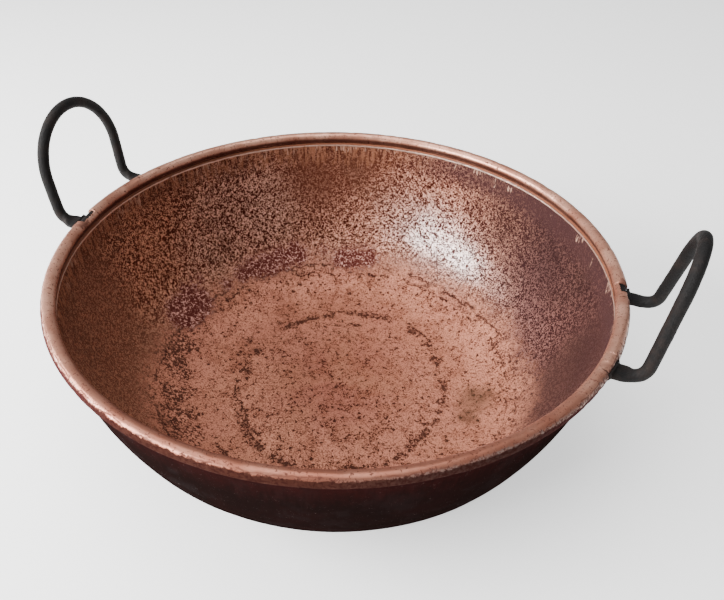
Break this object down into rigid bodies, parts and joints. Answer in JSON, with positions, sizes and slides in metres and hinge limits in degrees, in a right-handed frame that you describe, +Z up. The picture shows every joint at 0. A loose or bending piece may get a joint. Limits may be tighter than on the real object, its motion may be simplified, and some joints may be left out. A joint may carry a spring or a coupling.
{
  "type": "wide copper pan with two loop handles",
  "caption": "Wide hand-raised copper pan with a flared wall, a rim rolled over an iron wire, and upright forged iron loop handles hooked into the rim.",
  "frame": {"origin": "centre of the flat base's underside, on the pan's axis", "axes": "+Z up along the pan's axis to the open rim; +X towards the right handle, with the handles standing 1 degree off the X axis, both towards -Y"},
  "size_m": [0.5052, 0.45, 0.2321],
  "materials": {
    "copper": "worn, brown-speckled copper inside, soot-dark outside",
    "iron": "blackened wrought iron"
  },
  "bodies": {
    "root": {"pan_bowl": "copper", "rim_wire": "iron", "handle_left": "iron", "handle_right": "iron"}
  },
  "joints": []
}
